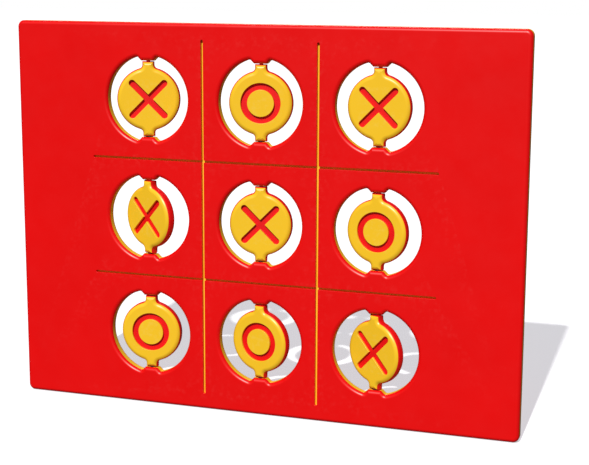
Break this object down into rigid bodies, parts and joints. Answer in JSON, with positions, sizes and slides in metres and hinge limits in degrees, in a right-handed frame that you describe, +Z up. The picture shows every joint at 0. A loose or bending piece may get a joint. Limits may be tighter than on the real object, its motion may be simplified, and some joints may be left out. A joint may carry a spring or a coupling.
{
  "type": "tic tac toe play panel",
  "caption": "Free-standing board with a routed three by three grid of round cutouts, each holding a spinning disc marked with a cross on one face and a nought on the other.",
  "frame": {"origin": "middle of the board's bottom edge, half way through its thickness", "axes": "+X to the right seen from the front, the front faces -Y, +Z up"},
  "size_m": [0.8, 0.051, 0.595],
  "materials": {
    "red_hdpe": "satin moulded sheet, light orange-peel texture",
    "yellow_hdpe": "satin, routed edge with fine tool marks",
    "red_hdpe_core": "satin, routed edge with fine tool marks",
    "yellow_hdpe_skin": "satin moulded sheet, light orange-peel texture",
    "rod_steel": "brushed stainless",
    "black_nylon": "moulded nylon"
  },
  "bodies": {
    "panel": {"panel_front_layer": "red_hdpe", "panel_front_layer_centre": "red_hdpe", "panel_core": "yellow_hdpe", "panel_rear_layer": "red_hdpe", "pivot_rod_left": "rod_steel", "rod_plug_left": "black_nylon", "pivot_rod_centre": "rod_steel", "rod_plug_centre": "black_nylon", "pivot_rod_right": "rod_steel", "rod_plug_right": "black_nylon", "thrust_washer_top_left": "black_nylon", "thrust_washer_top_centre": "black_nylon", "thrust_washer_top_right": "black_nylon", "thrust_washer_middle_left": "black_nylon", "thrust_washer_middle_centre": "black_nylon", "thrust_washer_middle_right": "black_nylon", "thrust_washer_bottom_left": "black_nylon", "thrust_washer_bottom_centre": "black_nylon", "thrust_washer_bottom_right": "black_nylon"},
    "disc_top_left": {"disc_top_left_core": "red_hdpe_core", "disc_top_left_front_layer": "yellow_hdpe_skin", "disc_top_left_rear_layer": "yellow_hdpe_skin", "disc_top_left_rear_nought_centre": "yellow_hdpe_skin"},
    "disc_top_centre": {"disc_top_centre_core": "red_hdpe_core", "disc_top_centre_front_layer": "yellow_hdpe_skin", "disc_top_centre_rear_layer": "yellow_hdpe_skin", "disc_top_centre_front_nought_centre": "yellow_hdpe_skin"},
    "disc_top_right": {"disc_top_right_core": "red_hdpe_core", "disc_top_right_front_layer": "yellow_hdpe_skin", "disc_top_right_rear_layer": "yellow_hdpe_skin", "disc_top_right_rear_nought_centre": "yellow_hdpe_skin"},
    "disc_middle_left": {"disc_middle_left_core": "red_hdpe_core", "disc_middle_left_front_layer": "yellow_hdpe_skin", "disc_middle_left_rear_layer": "yellow_hdpe_skin", "disc_middle_left_rear_nought_centre": "yellow_hdpe_skin"},
    "disc_middle_centre": {"disc_middle_centre_core": "red_hdpe_core", "disc_middle_centre_front_layer": "yellow_hdpe_skin", "disc_middle_centre_rear_layer": "yellow_hdpe_skin", "disc_middle_centre_rear_nought_centre": "yellow_hdpe_skin"},
    "disc_middle_right": {"disc_middle_right_core": "red_hdpe_core", "disc_middle_right_front_layer": "yellow_hdpe_skin", "disc_middle_right_rear_layer": "yellow_hdpe_skin", "disc_middle_right_front_nought_centre": "yellow_hdpe_skin"},
    "disc_bottom_left": {"disc_bottom_left_core": "red_hdpe_core", "disc_bottom_left_front_layer": "yellow_hdpe_skin", "disc_bottom_left_rear_layer": "yellow_hdpe_skin", "disc_bottom_left_front_nought_centre": "yellow_hdpe_skin"},
    "disc_bottom_centre": {"disc_bottom_centre_core": "red_hdpe_core", "disc_bottom_centre_front_layer": "yellow_hdpe_skin", "disc_bottom_centre_rear_layer": "yellow_hdpe_skin", "disc_bottom_centre_front_nought_centre": "yellow_hdpe_skin"},
    "disc_bottom_right": {"disc_bottom_right_core": "red_hdpe_core", "disc_bottom_right_front_layer": "yellow_hdpe_skin", "disc_bottom_right_rear_layer": "yellow_hdpe_skin", "disc_bottom_right_rear_nought_centre": "yellow_hdpe_skin"}
  },
  "joints": [
    {"name": "spin_top_left", "type": "hinge", "parent": "panel", "child": "disc_top_left", "pos_m": [-0.182, 0, 0.4795], "axis": [0, 0, 1], "continuous": true},
    {"name": "spin_top_centre", "type": "hinge", "parent": "panel", "child": "disc_top_centre", "pos_m": [0, 0, 0.4795], "axis": [0, 0, 1], "continuous": true},
    {"name": "spin_top_right", "type": "hinge", "parent": "panel", "child": "disc_top_right", "pos_m": [0.182, 0, 0.4795], "axis": [0, 0, 1], "continuous": true},
    {"name": "spin_middle_left", "type": "hinge", "parent": "panel", "child": "disc_middle_left", "pos_m": [-0.182, 0, 0.2975], "axis": [0, 0, 1], "continuous": true},
    {"name": "spin_middle_centre", "type": "hinge", "parent": "panel", "child": "disc_middle_centre", "pos_m": [0, 0, 0.2975], "axis": [0, 0, 1], "continuous": true},
    {"name": "spin_middle_right", "type": "hinge", "parent": "panel", "child": "disc_middle_right", "pos_m": [0.182, 0, 0.2975], "axis": [0, 0, 1], "continuous": true},
    {"name": "spin_bottom_left", "type": "hinge", "parent": "panel", "child": "disc_bottom_left", "pos_m": [-0.182, 0, 0.1155], "axis": [0, 0, 1], "continuous": true},
    {"name": "spin_bottom_centre", "type": "hinge", "parent": "panel", "child": "disc_bottom_centre", "pos_m": [0, 0, 0.1155], "axis": [0, 0, 1], "continuous": true},
    {"name": "spin_bottom_right", "type": "hinge", "parent": "panel", "child": "disc_bottom_right", "pos_m": [0.182, 0, 0.1155], "axis": [0, 0, 1], "continuous": true}
  ]
}
